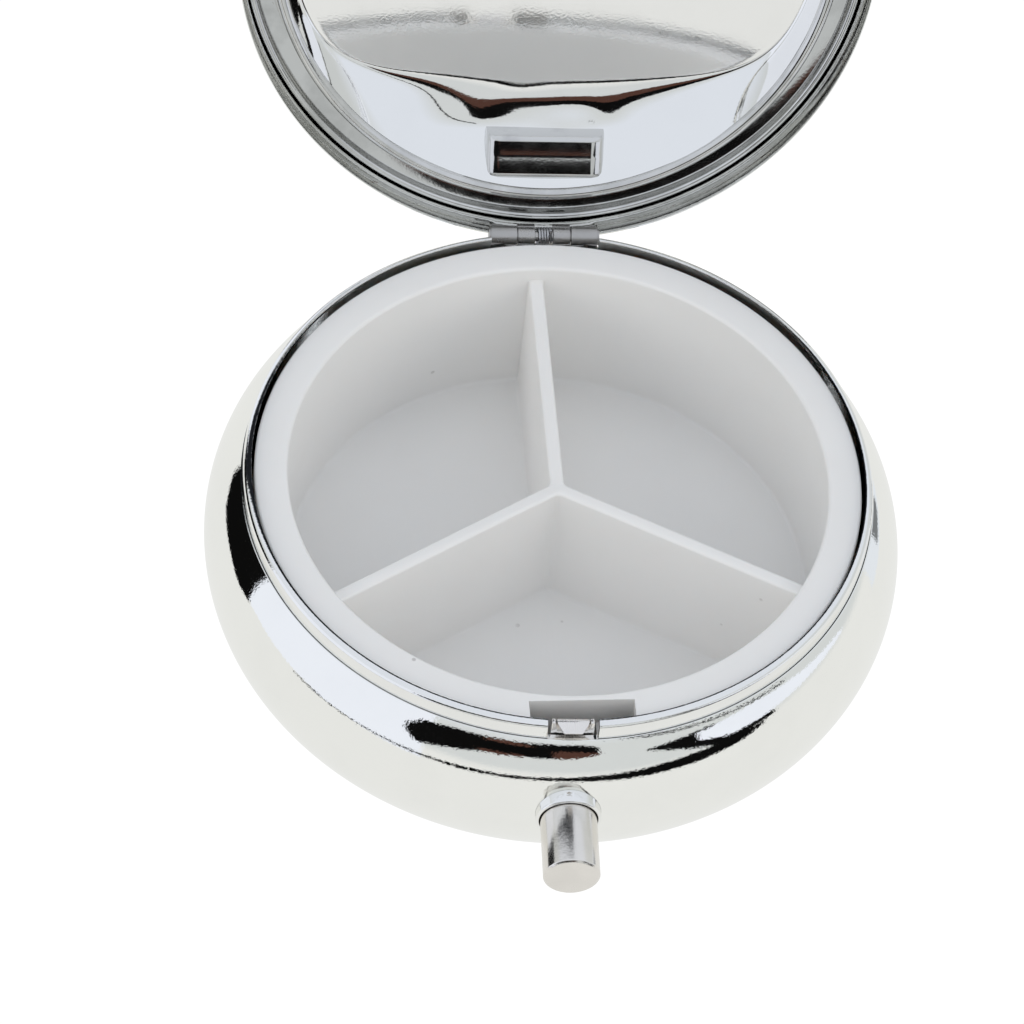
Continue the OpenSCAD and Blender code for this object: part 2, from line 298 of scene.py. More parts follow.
def combine(obj, tools, operation):
    """Cuts the tools from obj, or joins them to it."""
    for tool in tools:
        modifier = obj.modifiers.new("combine", "BOOLEAN")
        modifier.operation = operation
        modifier.solver = "MANIFOLD"
        modifier.object = tool
        apply_modifiers(obj)
        bpy.data.objects.remove(tool)
    return obj


def bevelled(obj, width, segments=3, angle=40):
    """Rounds the edges of obj that are sharper than the angle."""
    modifier = obj.modifiers.new("bevel", "BEVEL")
    modifier.width = width * MM
    modifier.segments = segments
    modifier.limit_method = "ANGLE"
    modifier.angle_limit = math.radians(angle)
    apply_modifiers(obj)
    return obj


def smooth(obj, angle=30):
    """Smooth shading, with the edges sharper than the angle kept sharp."""
    work = bmesh.new()
    work.from_mesh(obj.data)
    bmesh.ops.remove_doubles(work, verts=work.verts, dist=0.0005 * MM)
    work.to_mesh(obj.data)
    work.free()
    obj.data.shade_smooth()
    obj.data.set_sharp_from_angle(angle=math.radians(angle))
    return obj


# ---- materials ----


def feed(tree, socket, value):
    """Links another node's output to a socket, or sets its value."""
    if isinstance(value, bpy.types.NodeSocket):
        tree.links.new(value, socket)
    else:
        socket.default_value = value


def node(tree, kind, inputs=None, **settings):
    """Adds a node; inputs are values or the sockets that feed them."""
    made = tree.nodes.new(kind)
    for key, value in settings.items():
        setattr(made, key, value)
    for key, value in (inputs or {}).items():
        feed(tree, made.inputs[key], value)
    return made


def noise(tree, where, scale, detail=2.0, roughness=0.5):
    """Noise value between 0 and 1; scale is in features per metre."""
    inputs = {"Vector": where, "Scale": scale, "Detail": detail, "Roughness": roughness}
    return node(tree, "ShaderNodeTexNoise", inputs).outputs["Fac"]


def remap(tree, value, low, high, to_low, to_high):
    """Value between low and high, spread over the new range and held at its ends."""
    inputs = {0: value, 1: low, 2: high, 3: to_low, 4: to_high}
    return node(tree, "ShaderNodeMapRange", inputs).outputs[0]


def maths(tree, operation, a, b=0.0):
    """Sum, product or other operation on two numbers."""
    return node(tree, "ShaderNodeMath", {0: a, 1: b}, operation=operation).outputs[0]


def mixed(tree, factor, first, second):
    """Colour between two colours."""
    made = node(tree, "ShaderNodeMix", data_type="RGBA")
    colours = [socket for socket in made.inputs if socket.type == "RGBA"]
    for socket, value in ((made.inputs[0], factor), (colours[0], first), (colours[1], second)):
        feed(tree, socket, value)
    return [socket for socket in made.outputs if socket.type == "RGBA"][0]


def stretched(tree, where, turn, scale):
    """Coordinates turned by angles in degrees and stretched."""
    inputs = {"Vector": where, "Rotation": [math.radians(a) for a in turn], "Scale": scale}
    return node(tree, "ShaderNodeMapping", inputs).outputs["Vector"]


def scratches(tree, where, turns, fine, amount):
    """Sum of thin straight scratches, one set for each turn."""
    total = None
    for i, turn in enumerate(turns):
        lines = noise(tree, stretched(tree, where, turn, (fine, 60 + 9 * i, 60)), 1.0, 1.0)
        lines = remap(tree, lines, 0.70 - amount, 0.80 - amount, 0.0, 1.0)
        total = lines if total is None else maths(tree, "MAXIMUM", total, lines)
    return total


def new_material(name):
    """Material with its node tree, main shader and the piece's own coordinates."""
    material = bpy.data.materials.new(name)
    material.use_nodes = True
    tree = material.node_tree
    where = node(tree, "ShaderNodeTexCoord").outputs["Object"]
    return material, tree, tree.nodes["Principled BSDF"], where


def colour4(rgb):
    """Colour with full alpha."""
    return (*rgb, 1.0)


def metal(name, tint, dark, rough, waves, grain, scratch=0.0, smudge=0.3):
    """Plated metal: slow waves and fine orange peel in its surface, smudges, and hairline scratches.

    The colour runs from tint to dark in the smudges; rough holds the lowest and highest roughness.
    """
    material, tree, shader, where = new_material(name)
    shader.inputs["Metallic"].default_value = 1.0
    cloud = noise(tree, where, 220, 4, 0.6)
    patch = remap(tree, cloud, 0.45, 0.75, 0.0, smudge)
    tree.links.new(mixed(tree, patch, colour4(tint), colour4(dark)), shader.inputs["Base Color"])
    roughness = remap(tree, noise(tree, where, 380, 5, 0.65), 0.35, 0.75, rough[0], rough[1])
    height = maths(tree, "MULTIPLY", noise(tree, where, 170, 1, 0.4), waves)
    peel = maths(tree, "MULTIPLY", noise(tree, where, 5200, 2, 0.5), grain)
    height = maths(tree, "ADD", height, peel)
    if scratch:
        marks = scratches(tree, where, ((10, 5, 28), (-8, 0, 71), (4, 12, -37)), 5200, scratch)
        roughness = maths(tree, "ADD", roughness, maths(tree, "MULTIPLY", marks, 0.08))
        height = maths(tree, "SUBTRACT", height, maths(tree, "MULTIPLY", marks, 0.0012))
    tree.links.new(roughness, shader.inputs["Roughness"])
    bump = node(tree, "ShaderNodeBump", {"Strength": 1.0, "Distance": 0.0001, "Height": height})
    tree.links.new(bump.outputs["Normal"], shader.inputs["Normal"])
    return material


def tray_plastic():
    """White moulded plastic: slightly clouded, satin, with a few specks of dust."""
    material, tree, shader, where = new_material("tray_white")
    cloud = remap(tree, noise(tree, where, 90, 3, 0.5), 0.3, 0.7, 0.0, 1.0)
    white = mixed(tree, cloud, (0.83, 0.82, 0.80, 1), (0.855, 0.845, 0.825, 1))
    cells = node(tree, "ShaderNodeTexVoronoi", {"Vector": where, "Scale": 260.0, "Randomness": 1.0})
    speck = remap(tree, cells.outputs["Distance"], 0.035, 0.055, 1.0, 0.0)
    chance = remap(tree, noise(tree, where, 120, 0), 0.60, 0.64, 0.0, 0.45)
    speck = maths(tree, "MULTIPLY", speck, chance)
    tree.links.new(mixed(tree, speck, white, (0.25, 0.22, 0.20, 1)), shader.inputs["Base Color"])
    tree.links.new(remap(tree, noise(tree, where, 900, 3), 0.3, 0.7, 0.32, 0.42), shader.inputs["Roughness"])
    shader.inputs["Subsurface Weight"].default_value = 0.25
    shader.inputs["Subsurface Radius"].default_value = (1.0, 0.9, 0.85)
    shader.inputs["Subsurface Scale"].default_value = 0.0008
    shader.inputs["IOR"].default_value = 1.47
    height = maths(tree, "MULTIPLY", noise(tree, where, 2600, 3, 0.6), 0.05)
    bump = node(tree, "ShaderNodeBump", {"Strength": 0.5, "Distance": 0.0001, "Height": height})
    tree.links.new(bump.outputs["Normal"], shader.inputs["Normal"])
    return material


def lid_ring_steel():
    """Plated ring of the lid: soft smudges, and rust where the bead's foot has lost its plating."""
    rust_r = 21.0
    material = metal(
        "lid_ring_plated", (0.68, 0.68, 0.67), (0.42, 0.42, 0.41), (0.05, 0.12), 0.08, 0.02, smudge=0.7)
    tree = material.node_tree
    shader = tree.nodes["Principled BSDF"]
    where = node(tree, "ShaderNodeTexCoord").outputs["Object"]
    flat = node(tree, "ShaderNodeVectorMath", {0: where, 1: (1, 1, 0)}, operation="MULTIPLY").outputs[0]
    radius = node(tree, "ShaderNodeVectorMath", {0: flat}, operation="LENGTH").outputs["Value"]
    distance = maths(tree, "ABSOLUTE", maths(tree, "SUBTRACT", radius, rust_r * MM))
    near = remap(tree, distance, 0.15 * MM, 0.45 * MM, 1.0, 0.0)
    spot = remap(tree, noise(tree, where, 700, 3, 0.7), 0.66, 0.70, 0.0, 1.0)
    rust = maths(tree, "MULTIPLY", near, spot)
    base = shader.inputs["Base Color"].links[0].from_socket
    tree.links.new(mixed(tree, rust, base, (0.16, 0.06, 0.03, 1)), shader.inputs["Base Color"])
    tree.links.new(maths(tree, "SUBTRACT", 1.0, rust), shader.inputs["Metallic"])
    return material


def make_materials():
    """One material for each slot of the record."""
    return {
        "case_chrome": metal(
            "case_plated", (0.93, 0.93, 0.905), (0.86, 0.86, 0.84), (0.02, 0.05), 0.10, 0.034),
        "ring_chrome": metal(
            "ring_plated", (0.90, 0.90, 0.885), (0.80, 0.80, 0.79), (0.04, 0.09), 0.06, 0.060),
        "tray_plastic": tray_plastic(),
        "plain_steel": metal(
            "plain_steel", (0.46, 0.45, 0.44), (0.30, 0.29, 0.28), (0.22, 0.42), 0.10, 0.05, scratch=0.03),
        "spring_steel": metal(
            "spring_wire", (0.50, 0.50, 0.51), (0.36, 0.36, 0.37), (0.25, 0.35), 0.0, 0.03),
        "button_nickel": metal(
            "button_satin", (0.84, 0.81, 0.77), (0.62, 0.60, 0.57), (0.14, 0.24), 0.05, 0.045, scratch=0.03),
        "latch_nickel": metal(
            "latch_plated", (0.88, 0.85, 0.82), (0.66, 0.62, 0.58), (0.18, 0.34), 0.10, 0.05, scratch=0.03),
        "lid_inner_steel": lid_ring_steel(),
        "lid_dish_polish": metal(
            "dish_polish", (0.90, 0.90, 0.89), (0.84, 0.84, 0.83), (0.03, 0.07), 0.05, 0.012),
    }


# ---- case ----


def case_face(inset, end_r):
    """Face of the case's sheet, from the middle of its bottom to the radius where it ends."""
    side = (CASE_R - SIDE_R, BELLY_Z)
    foot_x = side[0] + math.sqrt((SIDE_R - FOOT_R) ** 2 - (BELLY_Z - FOOT_R) ** 2)
    foot_angle = math.degrees(math.atan2(FOOT_R - side[1], foot_x - side[0]))
    end = math.degrees(math.acos((end_r - side[0]) / (SIDE_R - inset)))
    return (
        [(0, inset)]
        + arc((foot_x, FOOT_R), FOOT_R - inset, -90, foot_angle, 16)
        + arc(side, SIDE_R - inset, foot_angle, end, 52, 1)
    )


def make_case():
    """Pressed case, with a small rolled edge against the neck ring."""
    edge_r = CASE_MOUTH_R + 0.09
    collar_hole_r = 2.31
    slot_x, slot_end_y = 3.9, 22.93
    knuckle_space_r = 0.9
    outer = case_face(0, edge_r)
    top = outer[-1][1]
    roll = rounded([(edge_r, top, 0), (CASE_MOUTH_R, top + 0.08, 0.06), (CASE_MOUTH_R, top - 0.3, 0)], False)
    case = lathe("case", outer + roll[1:] + case_face(CASE_T, CASE_MOUTH_R)[::-1])
    slot = block("slot", (-slot_x, slot_x), (10, slot_end_y), (10.5, FAR))
    knuckle_space = circle((HINGE_Y, HINGE_Z), knuckle_space_r, 24)
    knuckles = prism_x("knuckles", knuckle_space, (-HINGE_GAP_X, HINGE_GAP_X))
    return smooth(combine(case, (drill(collar_hole_r, 96), slot, knuckles), "DIFFERENCE"))


def make_neck_ring():
    """Ring with its top edge curled inwards, a notch at the front and a gap at the hinge."""
    curl = (RING_R - CURL_R, RING_TOP - CURL_R)
    foot = 1.3
    notch_x, notch_floor = 1.8, 12.4
    gap_floor = 11.7
    stem_hole_r = 0.78
    curl_turn = 100
    outline = [(RING_R - RING_T, foot), (RING_R, foot)]
    outline += arc(curl, CURL_R, 0, curl_turn, 14)
    outline += arc(curl, CURL_R - RING_T, curl_turn, 0, 4)
    ring = lathe("neck_ring_part", outline)
    above = RING_TOP + 2
    notch_line = rounded([
        (-notch_x, notch_floor, 0.15), (notch_x, notch_floor, 0.15),
        (notch_x, above, 0), (-notch_x, above, 0)])
    notch = prism_y("notch", notch_line, (-FAR, 0))
    gap = block("gap", (-HINGE_GAP_X, HINGE_GAP_X), (0, FAR), (gap_floor, FAR))
    return smooth(combine(ring, (notch, gap, drill(stem_hole_r)), "DIFFERENCE"))


# ---- tray ----


def star_outline(half_width, reach, inner_fillet, flare):
    """Plan of the three dividing walls, with rounded inner corners and ends that flare into the wall."""
    arms = 3
    points = []
    for arm in range(arms):
        angle = math.radians(90 + arm * 360 / arms)
        along = Vector((math.cos(angle), math.sin(angle)))
        left = Vector((-along.y, along.x))
        start = (half_width + inner_fillet) / math.tan(math.radians(60))
        ends = []
        for k in range(5):
            turn = math.radians(90 * k / 4)
            ends.append((reach - flare * (1 - math.sin(turn)), half_width + flare * (1 - math.cos(turn))))
        ends.append((reach + 0.4, half_width + flare))
        right_side = [(start, half_width)] + ends
        points += [along * a - left * b for a, b in right_side]
        points += [along * a + left * b for a, b in right_side[::-1]]
        bisector = angle + math.radians(60)
        centre = Vector((math.cos(bisector), math.sin(bisector)))
        centre *= (half_width + inner_fillet) / math.sin(math.radians(60))
        first = math.degrees(angle) - 90
        for x, y in arc(centre, inner_fillet, first, first - 60, 6)[1:-1]:
            points.append(Vector((x, y)))
    return points


def make_dividers():
    """Drafted walls with a rounded top edge and a fillet at the floor."""
    low_half_w, high_half_w = 0.58, 0.50
    fillet = ((0.9, 0.42), (1.18, 0.34), (1.24, 0.18), (1.36, 0.07), (1.55, 0.0))  # height, extra half width
    top_edge = ((0.22, 0.0), (0.14, 0.015), (0.07, 0.06), (0.02, 0.13), (0.0, 0.21))  # depth, inset
    layers = [(height, low_half_w + extra) for height, extra in fillet]
    layers += [(DIVIDER_TOP - depth, high_half_w - inset) for depth, inset in top_edge]
    sections = []
    for height, half_width in layers:
        bore = BORE_FLOOR_R + (BORE_R - BORE_FLOOR_R) * (height - FLOOR_Z) / (FLANGE_TOP - FLOOR_Z)
        plan = star_outline(half_width, bore + 0.12, 0.55, 0.35)
        sections.append([(p.x, p.y, height) for p in plan])
    return loft("dividers", sections)


def make_tray():
    """Moulded tray: flange, drafted wall, floor and dividing walls in one piece."""
    outline = rounded([
        (0, CASE_T, 0), (BORE_FLOOR_R + 0.8, CASE_T, 0.4), (BORE_R + TRAY_WALL, FLANGE_TOP - FLANGE_T, 0.2),
        (FLANGE_R, FLANGE_TOP - FLANGE_T, 0.15), (FLANGE_R, FLANGE_TOP, 0.18), (BORE_R, FLANGE_TOP, 0.28),
        (BORE_FLOOR_R, FLOOR_Z, 0.35), (0, FLOOR_Z, 0)])
    tray = lathe("tray", outline)
    combine(tray, [make_dividers()], "UNION")
    pocket_x, pocket_y = 3.7, -19.8
    pocket = block("pocket", (-pocket_x, pocket_x), (-FAR, pocket_y), (-1, FAR))
    combine(tray, [pocket], "DIFFERENCE")
    tray.data.transform(Matrix.Rotation(math.radians(TRAY_TURN), 4, "Z"))
    return smooth(tray, 35)


# ---- button and latch ----


def make_button():
    """Button with a turned end, bored from behind for its spring and stem."""
    radius, back, front = 2.0, 24.3, 30.4
    bore_r, bore_end = 1.5, 27.3
    stem_r, stem_end = 0.7, 28.3
    edge = 0.18
    outline = rounded([
        (0, stem_end, 0), (stem_r, stem_end, 0), (stem_r, bore_end, 0), (bore_r, bore_end, 0.1),
        (bore_r, back, 0.05), (radius, back, 0.1), (radius, front - edge, 0.12),
        (radius - edge, front - 0.04, 0.1), (0, front, 0)])
    return smooth(turned_y("button", outline, 128), 50)


def make_collar():
    """Flanged bush with a rounded front edge."""
    bore_r, radius, flange_r = 2.07, 2.3, 2.7
    back, flange_front, front = 23.4, 23.7, 25.5
    outline = rounded([
        (bore_r, back, 0.03), (flange_r, back, 0.05), (flange_r, flange_front, 0.1),
        (radius, flange_front, 0), (radius, front, 0.16), (bore_r, front, 0.05)])
    return smooth(turned_y("collar", outline, 128))


def make_latch():
    """Sheet strip with an ear on each side and a tapered tooth bent forwards between them."""
    half_w, bottom, ear_top = 1.5, 5.4, 13.6
    root, root_half_w, ear_half_w = 12.95, 1.12, 1.22
    front, back = -21.95, -21.55
    stem_hole_r = 0.7
    plan = rounded([
        (-half_w, bottom, 0.2), (half_w, bottom, 0.2),
        (half_w, ear_top, 0.1), (ear_half_w, ear_top, 0.1), (root_half_w, root, 0.05),
        (-root_half_w, root, 0.05), (-ear_half_w, ear_top, 0.1), (-half_w, ear_top, 0.1)])
    strip = prism_y("latch", plan, (front, back))
    combine(strip, [drill(stem_hole_r)], "DIFFERENCE")
    tooth_line = rounded([(-21.6, 12.6, 0), (-21.72, 13.5, 0.22), (-22.58, 13.12, 0)], False, 8)
    taper_from, taper_length, taper = -21.9, 0.7, 0.5
    half_widths = []
    for y, _ in tooth_line:
        part = min(max((taper_from - y) / taper_length, 0), 1)
        half_widths.append(root_half_w - taper * part)
    combine(strip, [ribbon("tooth", tooth_line, half_widths, -0.3)], "UNION")
    return smooth(bevelled(strip, 0.04, 2))


def make_button_spring():
    """Compression spring with closed end turns."""
    turns, steps = 8, 36
    first, last = 22.68, 27.12
    mean_r, wire_r = 1.1, 0.15
    closing = 0.035  # how far the end turns move together
    path = []
    for i in range(turns * steps + 1):
        part = i / (turns * steps)
        distance = first + (last - first) * (part - closing * math.sin(4 * math.pi * part))
        angle = 2 * math.pi * i / steps
        path.append((mean_r * math.cos(angle), -distance, BUTTON_Z + mean_r * math.sin(angle)))
    return smooth(tube("button_coil", path, wire_r))


def make_hinge_spring():
    """Short torsion spring on the pin, with a leg down into the case and a leg along the lid."""
    turns, steps = 5, 36
    half_length, mean_r, wire_r = 0.5, 0.6, 0.09
    path = [(-0.4, 22.68, 10.6), (-0.46, 22.6, 11.6)]
    for i in range(turns * steps + 1):
        angle = math.pi + 2 * math.pi * i / steps
        x = -half_length + 2 * half_length * i / (turns * steps)
        path.append((x, HINGE_Y + mean_r * math.cos(angle), HINGE_Z + mean_r * math.sin(angle)))
    path.append((0.42, HINGE_Y - 0.45, HINGE_Z + 1.2))
    return smooth(tube("hinge_coil", path, wire_r, 10))


# ---- lid, drawn closed ----


def lid_face(inset):
    """Face of the lid's sheet, from the skirt to the middle of the dome."""
    end_r = CORNER[0] + CORNER_R * math.cos(math.radians(DOME_ANGLE))
    centre_z = CORNER[1] + CORNER_R * math.sin(math.radians(DOME_ANGLE)) - math.sqrt(DOME_R ** 2 - end_r ** 2)
    dome = []
    for i in range(1, 25):
        radius = end_r * (1 - i / 24)
        dome.append((radius, centre_z + math.sqrt((DOME_R - inset) ** 2 - radius ** 2)))
    return arc(CORNER, CORNER_R - inset, 0, DOME_ANGLE, 28) + dome


def make_lid_shell():
    """Pressed outer lid with a thinned rim and a gap at the hinge."""
    thinned_to = 13.5
    gap_top = 13.5
    rim = [
        (LID_R - LID_T, thinned_to), (LID_R - 0.12, RIM_Z + 0.1), (LID_R - 0.08, RIM_Z),
        (LID_R - 0.02, RIM_Z), (LID_R, RIM_Z + 0.05)]
    shell = lathe("lid_outer", rim + lid_face(0) + lid_face(LID_T)[::-1])
    gap = prism_x("gap", [(FAR, 0), (FAR, gap_top), (20, gap_top), (20, 0)], (-HINGE_GAP_X, HINGE_GAP_X))
    return smooth(combine(shell, [gap], "DIFFERENCE"))


def make_lid_ring():
    """Inner ring: round hem at the skirt, flat channel, and a half-round bead."""
    path = [(HEM[0] + HEM_R, CHANNEL_Z + 0.3)] + arc(HEM, HEM_R, 0, -180, 16)
    path += rounded([
        path[-1] + (0,), (HEM[0] - HEM_R - 0.05, CHANNEL_Z, 0.15),
        (BEAD[0] + BEAD_R, CHANNEL_Z + CHANNEL_RISE, 0.15), (BEAD[0] + BEAD_R, BEAD[1], 0)], False, 8)[1:]
    path += arc(BEAD, BEAD_R, 0, -180, 24, 1)
    path.append((BEAD[0] - BEAD_R, DISH_Z + 1.2))
    return smooth(lathe("lid_ring", sheet(path, -0.2)))


def dish_floor(y):
    """Height of the dish before its edge turns down: flat, then sloping deeper towards the hinge."""
    start, end = DISH_BEND_FROM
    bend = min(max(y - start, 0), end - start)
    return DISH_FLAT + DISH_SLOPE * (bend * bend / (2 * (end - start)) + max(y - end, 0))


def dish_dents(x, y):
    """Height added by the dents round the hinge cover."""
    total = 0
    for centre_x, centre_y, half_w, half_l, height in DISH_DENTS:
        total += height * math.exp(-((x - centre_x) / half_w) ** 2 - ((y - centre_y) / half_l) ** 2)
    return total


def dish_turn_r(angle):
    """Radius at which the edge starts to turn down: a straight line near the hinge, else a narrow lip."""
    blend = 8
    near = (max(math.sin(angle), 0) / DISH_RAMP_Y) ** blend
    return (near + (1 / DISH_LIP_R) ** blend) ** (-1 / blend)


def make_dish():
    """Polished dish in the bead: a plate with a narrow lip and a wide ramp towards the hinge."""
    flat_rings, turn_rings = 44, 26
    overlap = 0.02  # into the bead
    points, faces = [], []
    for lift in (0, LID_T):
        points.append((0, 0, dish_floor(0) + lift))
        for ring in range(1, flat_rings + turn_rings + 1):
            for i in range(SEGMENTS):
                angle = 2 * math.pi * i / SEGMENTS
                turn_r = dish_turn_r(angle)
                part = max(ring - flat_rings, 0) / turn_rings
                radius = turn_r * min(ring / flat_rings, 1) + (DISH_R + overlap - turn_r) * part
                edge_drop = dish_floor(DISH_R * math.sin(angle)) - DISH_Z
                height = dish_floor(radius * math.sin(angle)) - edge_drop * part * part
                x, y = radius * math.cos(angle), radius * math.sin(angle)
                points.append((x, y, height + dish_dents(x, y) + lift))
    rings = flat_rings + turn_rings
    side = len(points) // 2
    for first in (0, side):
        for i in range(SEGMENTS):
            k = (i + 1) % SEGMENTS
            faces.append((first, first + 1 + i, first + 1 + k))
            for ring in range(rings - 1):
                here = first + 1 + ring * SEGMENTS
                faces.append((here + i, here + SEGMENTS + i, here + SEGMENTS + k, here + k))
    last = 1 + (rings - 1) * SEGMENTS
    for i in range(SEGMENTS):
        k = (i + 1) % SEGMENTS
        faces.append((last + i, last + k, side + last + k, side + last + i))
    return smooth(new_object("dish", points, faces), 50)


def make_hinge_cover():
    """Pressed housing over the lid's hinge leaf: a leaning, slightly crowned face between soft edges."""
    half_w, edge_w, edge_sink = 4.3, 0.9, 0.7
    y, roof_z = (16.0, 19.35), 17.3
    from_side = (0, 0.12, 0.4, edge_w, 1)
    places = [-half_w + x for x in from_side] + [0] + [half_w - x for x in from_side[::-1]]
    sections = []
    for x in places:
        edge = min(max(abs(x) - (half_w - edge_w), 0) / edge_w, 1)
        sink = edge_sink * (1 - math.sqrt(1 - edge ** 2))
        face = rounded([
            (y[0], roof_z, 0), (y[0], 14.85 + sink, 0.5), (17.5, 14.62 + sink, 4), (19.0, 14.28 + sink, 0.35),
            (y[1], 14.9 + sink, 0.3), (y[1], roof_z, 0)], False, 8)
        sections.append([(x, a, b) for a, b in face])
    return smooth(bevelled(loft("hinge_cover", sections), 0.06, 2, 60), 45)


def make_lid_leaf():
    """Hinge leaf of the lid: two rolled knuckles under a plate that follows the skirt."""
    plate_r, plate_z, plate_x = (22.82, 23.1), (13.2, 15.0), 3.8
    knuckle_r, bore_r = 0.66, 0.45
    inner_x, outer_x = 0.66, 1.94
    plate = lathe("lid_leaf", rounded([
        (plate_r[0], plate_z[0], 0.05), (plate_r[1], plate_z[0], 0.05), (plate_r[1], plate_z[1], 0.05),
        (plate_r[0], plate_z[1], 0.05)]))
    keep = block("keep", (-plate_x, plate_x), (0, FAR), (0, FAR))
    combine(plate, [keep], "INTERSECT")
    knuckle_line = circle((HINGE_Y, HINGE_Z), knuckle_r, 32)
    arm_line = rounded([
        (22.45, 13.1, 0.04), (23.05, 13.1, 0.04), (23.0, 13.45, 0.1), (22.72, 13.6, 0.05),
        (22.45, 13.6, 0.04)])
    for x in ((-outer_x, -inner_x), (inner_x, outer_x)):
        knuckle = bevelled(prism_x("knuckle", knuckle_line, x), 0.07, 2)
        combine(plate, [prism_x("arm", arm_line, x), knuckle], "UNION")
    bore = prism_x("bore", circle((HINGE_Y, HINGE_Z), bore_r, 24), (-FAR, FAR))
    return smooth(combine(plate, [bore], "DIFFERENCE"))


# ---- studio ----


CREAM = (0.84, 0.845, 0.83)
BLUISH = (0.88, 0.915, 1.0)
BLACK = (0.004, 0.004, 0.004)
SKIN = (0.085, 0.04, 0.03)
CARD_CENTRE = Vector((0, 0, 8))
LAMPS = (("left", (-0.55, -0.35, 0.30)), ("right", (0.55, -0.30, 0.30)))  # metres
LAMP_POWER = 0.76
LAMP_WARM = (1.0, 0.95, 0.90)

# Cards that only reflections see: name, colour, distance, and (azimuth, lowest elevation, highest
# elevation) along each. Azimuth 0 is towards -Y and grows towards +X.
CARDS = (
    ("softbox_left", BLUISH, 720, ((-100, -12, 30), (-36, -12, 30))),
    ("flag_left", BLACK, 700, ((-131, -10, 10), (-126, -16, 14), (-106, -16, 14), (-100, -13, 12))),
    ("photographer", BLACK, 520, (
        (-42, 8, 14), (-38, 1, 22), (-30, 6, 25), (-20, 12, 26), (0, 14, 26.5), (9, 15, 26), (13, 18, 23))),
    ("hand_low", SKIN, 500, ((-21, 12, 14.5), (-14, 12.5, 15), (-8, 13.5, 15))),
    ("hand_high", SKIN, 500, ((-20, 23, 25), (-14, 23, 26), (-6, 23, 24))),
    ("hand_right", SKIN, 400, ((0, 14, 20), (4, 13.5, 20.5), (9, 15, 19.5), (13, 17, 18))),
    ("edge_strip", BLACK, 560, (
        (-78, -13.5, -12.8), (-60, -12, -11), (-45, -10.6, -9.4), (-20, -9, -6), (0, -7, -4), (20, -8.5, -2),
        (38, -9, 0), (52, -8, -1), (60, -5, -3))),
    ("wedge_right", BLACK, 700, ((26, 14.6, 15.4), (36, 7, 17), (45, -1, 18), (56, -2, 13), (64, -3, -1))),
    ("softbox_right", BLUISH, 660, ((41, 9, 16), (50, 2, 16.5), (60, 1, 16), (76, 1, 9), (92, 0, 2))),
    ("cable", BLACK, 650, ((12, 30.4, 31.6), (45, 21.4, 22.6), (70, 13.4, 14.6))),
    ("right_panel", (0.80, 0.84, 0.90), 700, ((108, -14, 0), (130, -14, 0))),
    ("right_streak", (0.20, 0.21, 0.22), 690, ((117, -12, -5), (126, -12, -5))),
    ("rear_flag", (0.02, 0.02, 0.02), 700, ((150, -9, 6), (168, -12, 10), (176, -8, 4))),
    ("dark_ceiling", (0.012, 0.013, 0.016), 740, (
        (163, 42, 55), (173, 43, 60), (190, 42, 60), (208, 34, 54), (220, 20, 46), (228, 2, 36),
        (236, -2, 14))),
    ("rear_band", BLACK, 690, ((177, -5, 4), (190, -8, 3), (206, -9, 0))),
    ("rear_softbox", BLUISH, 700, ((182, -4, 28), (222, -4, 28))),
)


def glow(name, colour, strength=1.0):
    """Material that gives plain even light."""
    material = bpy.data.materials.new(name)
    material.use_nodes = True
    tree = material.node_tree
    tree.nodes.clear()
    light = node(tree, "ShaderNodeEmission", {"Color": colour4(colour), "Strength": strength})
    out = node(tree, "ShaderNodeOutputMaterial")
    tree.links.new(light.outputs[0], out.inputs["Surface"])
    return material


def card(name, colour, distance, edges):
    """Curved card round the object, seen only in reflections."""
    low, high = [], []
    for (a0, low0, high0), (a1, low1, high1) in zip(edges, edges[1:]):
        steps = max(1, math.ceil((a1 - a0) / 4))
        for k in range(steps + (a1 == edges[-1][0])):
            part = k / steps
            azimuth = math.radians(a0 + (a1 - a0) * part)
            for line, start, end in ((low, low0, low1), (high, high0, high1)):
                elevation = math.radians(start + (end - start) * part)
                level = math.cos(elevation)
                towards = Vector((math.sin(azimuth) * level, -math.cos(azimuth) * level, math.sin(elevation)))
                line.append(CARD_CENTRE + towards * distance)
    count = len(low)
    faces = [(i, i + 1, count + i + 1, count + i) for i in range(count - 1)]
    obj = new_object(name, low + high, faces)
    obj.data.materials.append(glow(name + "_light", colour))
    obj.visible_camera = False
    obj.visible_diffuse = False
    obj.visible_shadow = False
    obj.visible_transmission = False


def make_floor():
    """Large pale floor that stays out of the reflections."""
    size, height = 6000, -0.05
    corners = [(-size, -size, height), (size, -size, height), (size, size, height), (-size, size, height)]
    floor = new_object("floor", corners, [(0, 1, 2, 3)])
    floor.data.materials.append(glow("floor_white", (1, 1, 1), 1.05))
    floor.visible_glossy = False


def make_world():
    """Cream below the horizon, light grey above it, brighter overhead."""
    world = bpy.data.worlds.new("studio")
    bpy.context.scene.world = world
    world.use_nodes = True
    tree = world.node_tree
    where = node(tree, "ShaderNodeTexCoord").outputs["Generated"]
    height = node(tree, "ShaderNodeSeparateXYZ", {0: where}).outputs["Z"]
    ramp = node(tree, "ShaderNodeValToRGB", {"Fac": remap(tree, height, -1, 1, 0, 1)})
    grey, blue_white = (0.68, 0.705, 0.71), (0.78, 0.82, 0.89)
    stops = ((0.0, CREAM), (0.47, CREAM), (0.52, grey), (0.72, grey), (0.80, blue_white))
    elements = ramp.color_ramp.elements
    while len(elements) < len(stops):
        elements.new(0.5)
    for element, (position, colour) in zip(elements, stops):
        element.position = position
        element.color = colour4(colour)
    tree.links.new(ramp.outputs["Color"], tree.nodes["Background"].inputs["Color"])
    tree.nodes["Background"].inputs["Strength"].default_value = 1.0


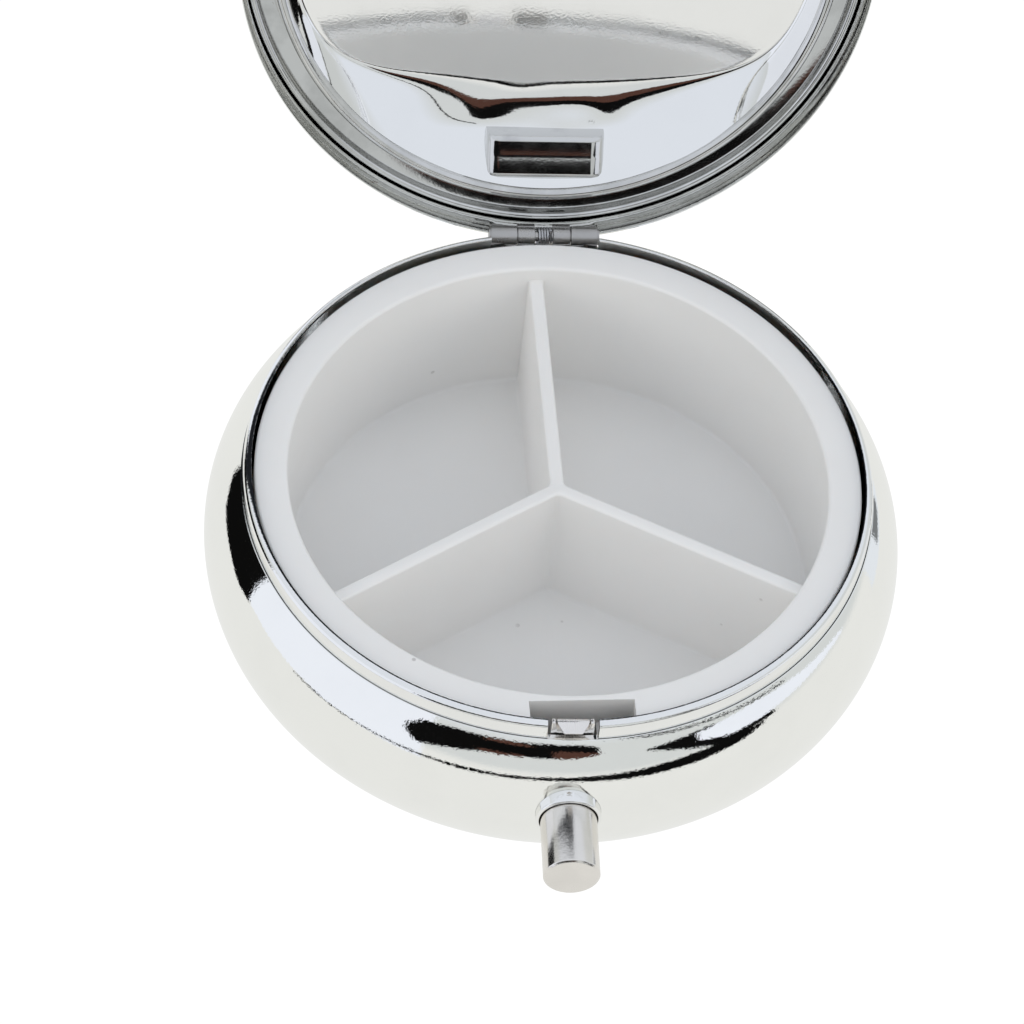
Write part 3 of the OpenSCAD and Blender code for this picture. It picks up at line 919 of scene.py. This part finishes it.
def make_light(name, position):
    """Large soft light aimed at the box, which its chrome does not show."""
    data = bpy.data.lights.new(name, "AREA")
    data.size = 0.5
    data.energy = LAMP_POWER
    data.color = LAMP_WARM
    light = bpy.data.objects.new(name, data)
    light.location = position
    light.rotation_euler = (-light.location).to_track_quat("-Z", "Y").to_euler()
    light.visible_glossy = False
    bpy.context.scene.collection.objects.link(light)


def make_camera():
    """Camera above the front of the box, rolled a little, with a long lens."""
    position = Vector((-43.8, -307.1, 400.2)) * MM
    target = Vector((-3.5, -3.4, 13.6)) * MM
    roll = math.radians(6.57)
    ahead = (target - position).normalized()
    level = ahead.cross(Vector((0, 0, 1))).normalized()
    above = level.cross(ahead)
    right = level * math.cos(roll) + above * math.sin(roll)
    up = right.cross(ahead)
    data = bpy.data.cameras.new("camera")
    data.sensor_width = 36
    data.lens = 244.8
    data.clip_start = 0.05
    camera = bpy.data.objects.new("camera", data)
    camera.matrix_world = Matrix.Translation(position) @ Matrix((right, up, -ahead)).transposed().to_4x4()
    bpy.context.scene.collection.objects.link(camera)
    bpy.context.scene.camera = camera


# ---- assembly ----


def opening_of(joints):
    """Turn that takes the closed lid to its open position."""
    hinge = next(j for j in joints if j["name"] == "lid_hinge")
    axis_point = Vector(hinge["pos_m"])
    turn = Matrix.Rotation(-math.radians(hinge["range_deg"][1]), 4, Vector(hinge["axis"]))
    return Matrix.Translation(axis_point) @ turn @ Matrix.Translation(-axis_point)


def attach(piece, body, node_name, slot, materials):
    """Gives a new piece its body and the material of its slot, and hides the CAD node that it stands for."""
    piece.data.materials.clear()
    piece.data.materials.append(materials[slot])
    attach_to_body(piece, body)
    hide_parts(node_name)


def main():
    """Builds the looks on the frame."""
    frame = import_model()
    materials = make_materials()

    slots = {part["node"]: part["material_slot"] for part in frame["record"]["subparts"]}
    for name, obj in frame["nodes"].items():
        obj.data.materials.clear()
        obj.data.materials.append(materials[slots[name]])

    pieces = (
        ("base", "base_shell", make_case),
        ("base", "neck_ring", make_neck_ring),
        ("base", "pill_tray", make_tray),
        ("base", "button_collar", make_collar),
        ("base", "button_spring", make_button_spring),
        ("base", "hinge_spring", make_hinge_spring),
        ("button", "push_button", make_button),
        ("button", "latch_tongue", make_latch),
        ("lid", "lid_shell", make_lid_shell),
        ("lid", "lid_frame_ring", make_lid_ring),
        ("lid", "lid_plate", make_dish),
        ("lid", "lid_hinge_cover", make_hinge_cover),
        ("lid", "lid_hinge_leaf", make_lid_leaf),
    )
    opening = opening_of(frame["joints"])
    for body, node_name, make in pieces:
        piece = make()
        if body == "lid":
            piece.matrix_world = opening
        attach(piece, body, node_name, slots[node_name], materials)
        if node_name == "button_spring":
            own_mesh(piece)

    for name, colour, distance, edges in CARDS:
        card(name, colour, distance, edges)
    make_floor()
    make_world()
    for name, position in LAMPS:
        make_light(name, position)
    make_camera()
    bpy.context.scene.view_settings.view_transform = "Standard"


main()
